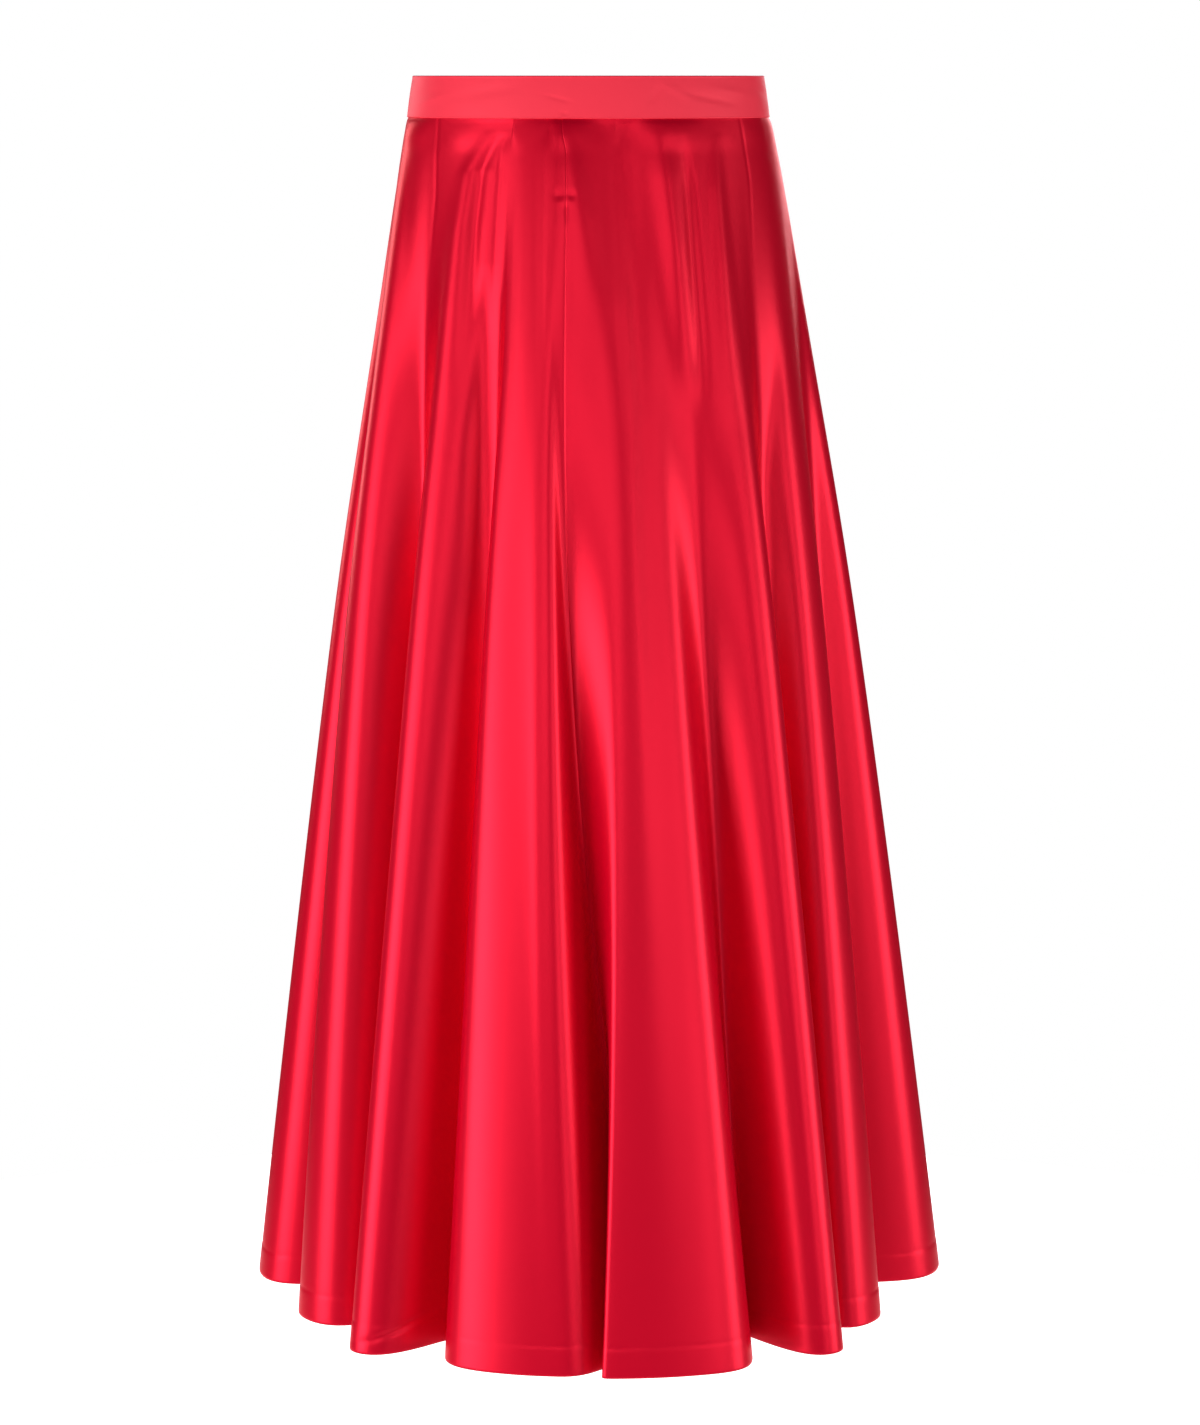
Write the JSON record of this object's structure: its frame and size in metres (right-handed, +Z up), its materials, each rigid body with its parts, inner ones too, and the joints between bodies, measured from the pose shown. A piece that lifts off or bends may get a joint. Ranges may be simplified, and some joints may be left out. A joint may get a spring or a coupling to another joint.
{
  "type": "midi skirt",
  "caption": "Flared red satin skirt cut in panels, with a straight waistband, deep rounded flutes and a plain turned hem, held open as on a body.",
  "frame": {"origin": "middle of the waist opening, half way up the waistband", "axes": "+Z up through the waist, -Y to the front of the skirt, +X to the wearer's left"},
  "size_m": [0.5211, 0.5337, 0.895],
  "materials": {
    "satin": "heavy duchess satin, soft sheen",
    "band_satin": "the same satin over a stiffener",
    "zip_tape": "matt woven zip tape"
  },
  "bodies": {
    "root": {"front_panel_right": "satin", "front_panel_left": "satin", "back_panel_left": "satin", "back_panel_right": "satin", "waistband": "band_satin", "back_zip": "zip_tape"}
  },
  "joints": []
}
